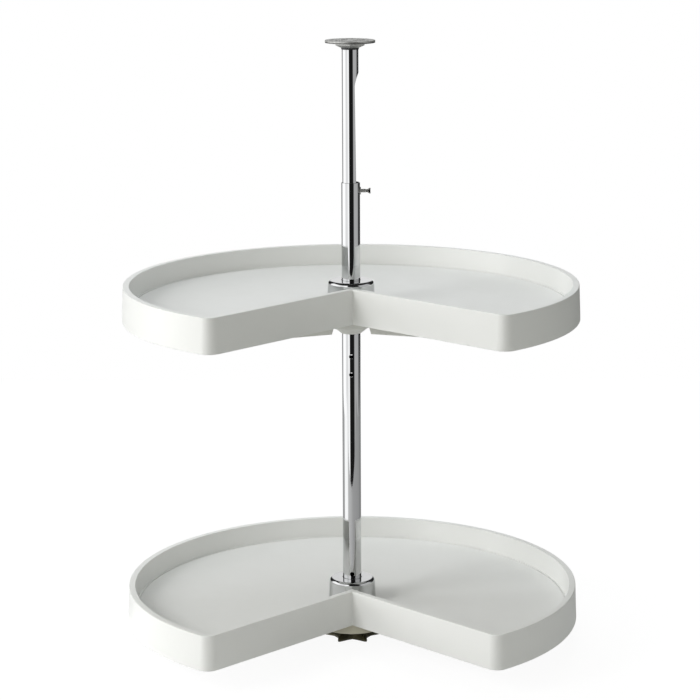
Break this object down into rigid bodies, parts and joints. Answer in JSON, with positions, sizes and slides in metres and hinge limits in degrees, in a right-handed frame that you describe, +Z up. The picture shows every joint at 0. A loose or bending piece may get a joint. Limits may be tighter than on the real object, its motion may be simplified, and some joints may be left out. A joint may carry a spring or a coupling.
{
  "type": "corner carousel fitting",
  "caption": "Corner cabinet carousel: kidney-shaped white trays with raised rims turn freely on a telescoping chrome post between a floor foot and a top flange.",
  "frame": {"origin": "on the post's axis, at the underside of the floor foot, where it is screwed to the cabinet floor", "axes": "+Z up along the post, -Y towards the open notch of the trays (the cabinet door side), +X towards the lock screw"},
  "size_m": [0.6259, 0.5646, 0.8336],
  "materials": {
    "chrome": "bright chrome plated steel tube and caps",
    "tray_white": "white moulded polymer, satin, with a very fine texture",
    "hub_cream": "off-white moulded polymer, matt",
    "foot_dark": "near-black cast foot, slightly glossy",
    "zinc": "satin die-cast zinc",
    "bearing_white": "acetal thrust washer",
    "bearing_black": "black acetal bush",
    "steel": "zinc plated steel"
  },
  "bodies": {
    "post": {"floor_foot": "foot_dark", "lower_tube": "chrome", "post_pin": "steel", "thrust_washer_lower": "bearing_white", "support_collar": "hub_cream", "collar_pin": "steel", "thrust_washer_upper": "bearing_white", "lock_nut": "zinc"},
    "telescope": {"upper_tube": "chrome", "top_flange": "zinc"},
    "clamp_screw": {"lock_screw": "zinc"},
    "lower_shelf": {"tray_lower": "tray_white", "hub_lower": "hub_cream", "hub_cover_lower": "chrome", "bush_lower_bottom": "bearing_black", "bush_lower_top": "bearing_black", "hub_screw_lower_1": "steel", "hub_screw_lower_2": "steel", "hub_screw_lower_3": "steel", "hub_screw_lower_4": "steel"},
    "upper_shelf": {"tray_upper": "tray_white", "hub_upper": "hub_cream", "hub_cover_upper": "chrome", "bush_upper_bottom": "bearing_black", "bush_upper_top": "bearing_black", "hub_screw_upper_1": "steel", "hub_screw_upper_2": "steel", "hub_screw_upper_3": "steel", "hub_screw_upper_4": "steel"}
  },
  "joints": [
    {"name": "lower_shelf_turn", "type": "hinge", "parent": "post", "child": "lower_shelf", "pos_m": [0, 0, 0.0532], "axis": [0, 0, 1], "continuous": true},
    {"name": "upper_shelf_turn", "type": "hinge", "parent": "post", "child": "upper_shelf", "pos_m": [0, 0, 0.4755], "axis": [0, 0, 1], "continuous": true},
    {"name": "telescope_slide", "type": "slide", "parent": "post", "child": "telescope", "axis": [0, 0, 1], "range_m": [-0.112, 0.02]},
    {"name": "lock_screw_turn", "type": "hinge", "parent": "post", "child": "clamp_screw", "pos_m": [0.0127, 0, 0.6295], "axis": [1, 0, 0], "range_deg": [0, 720]}
  ]
}
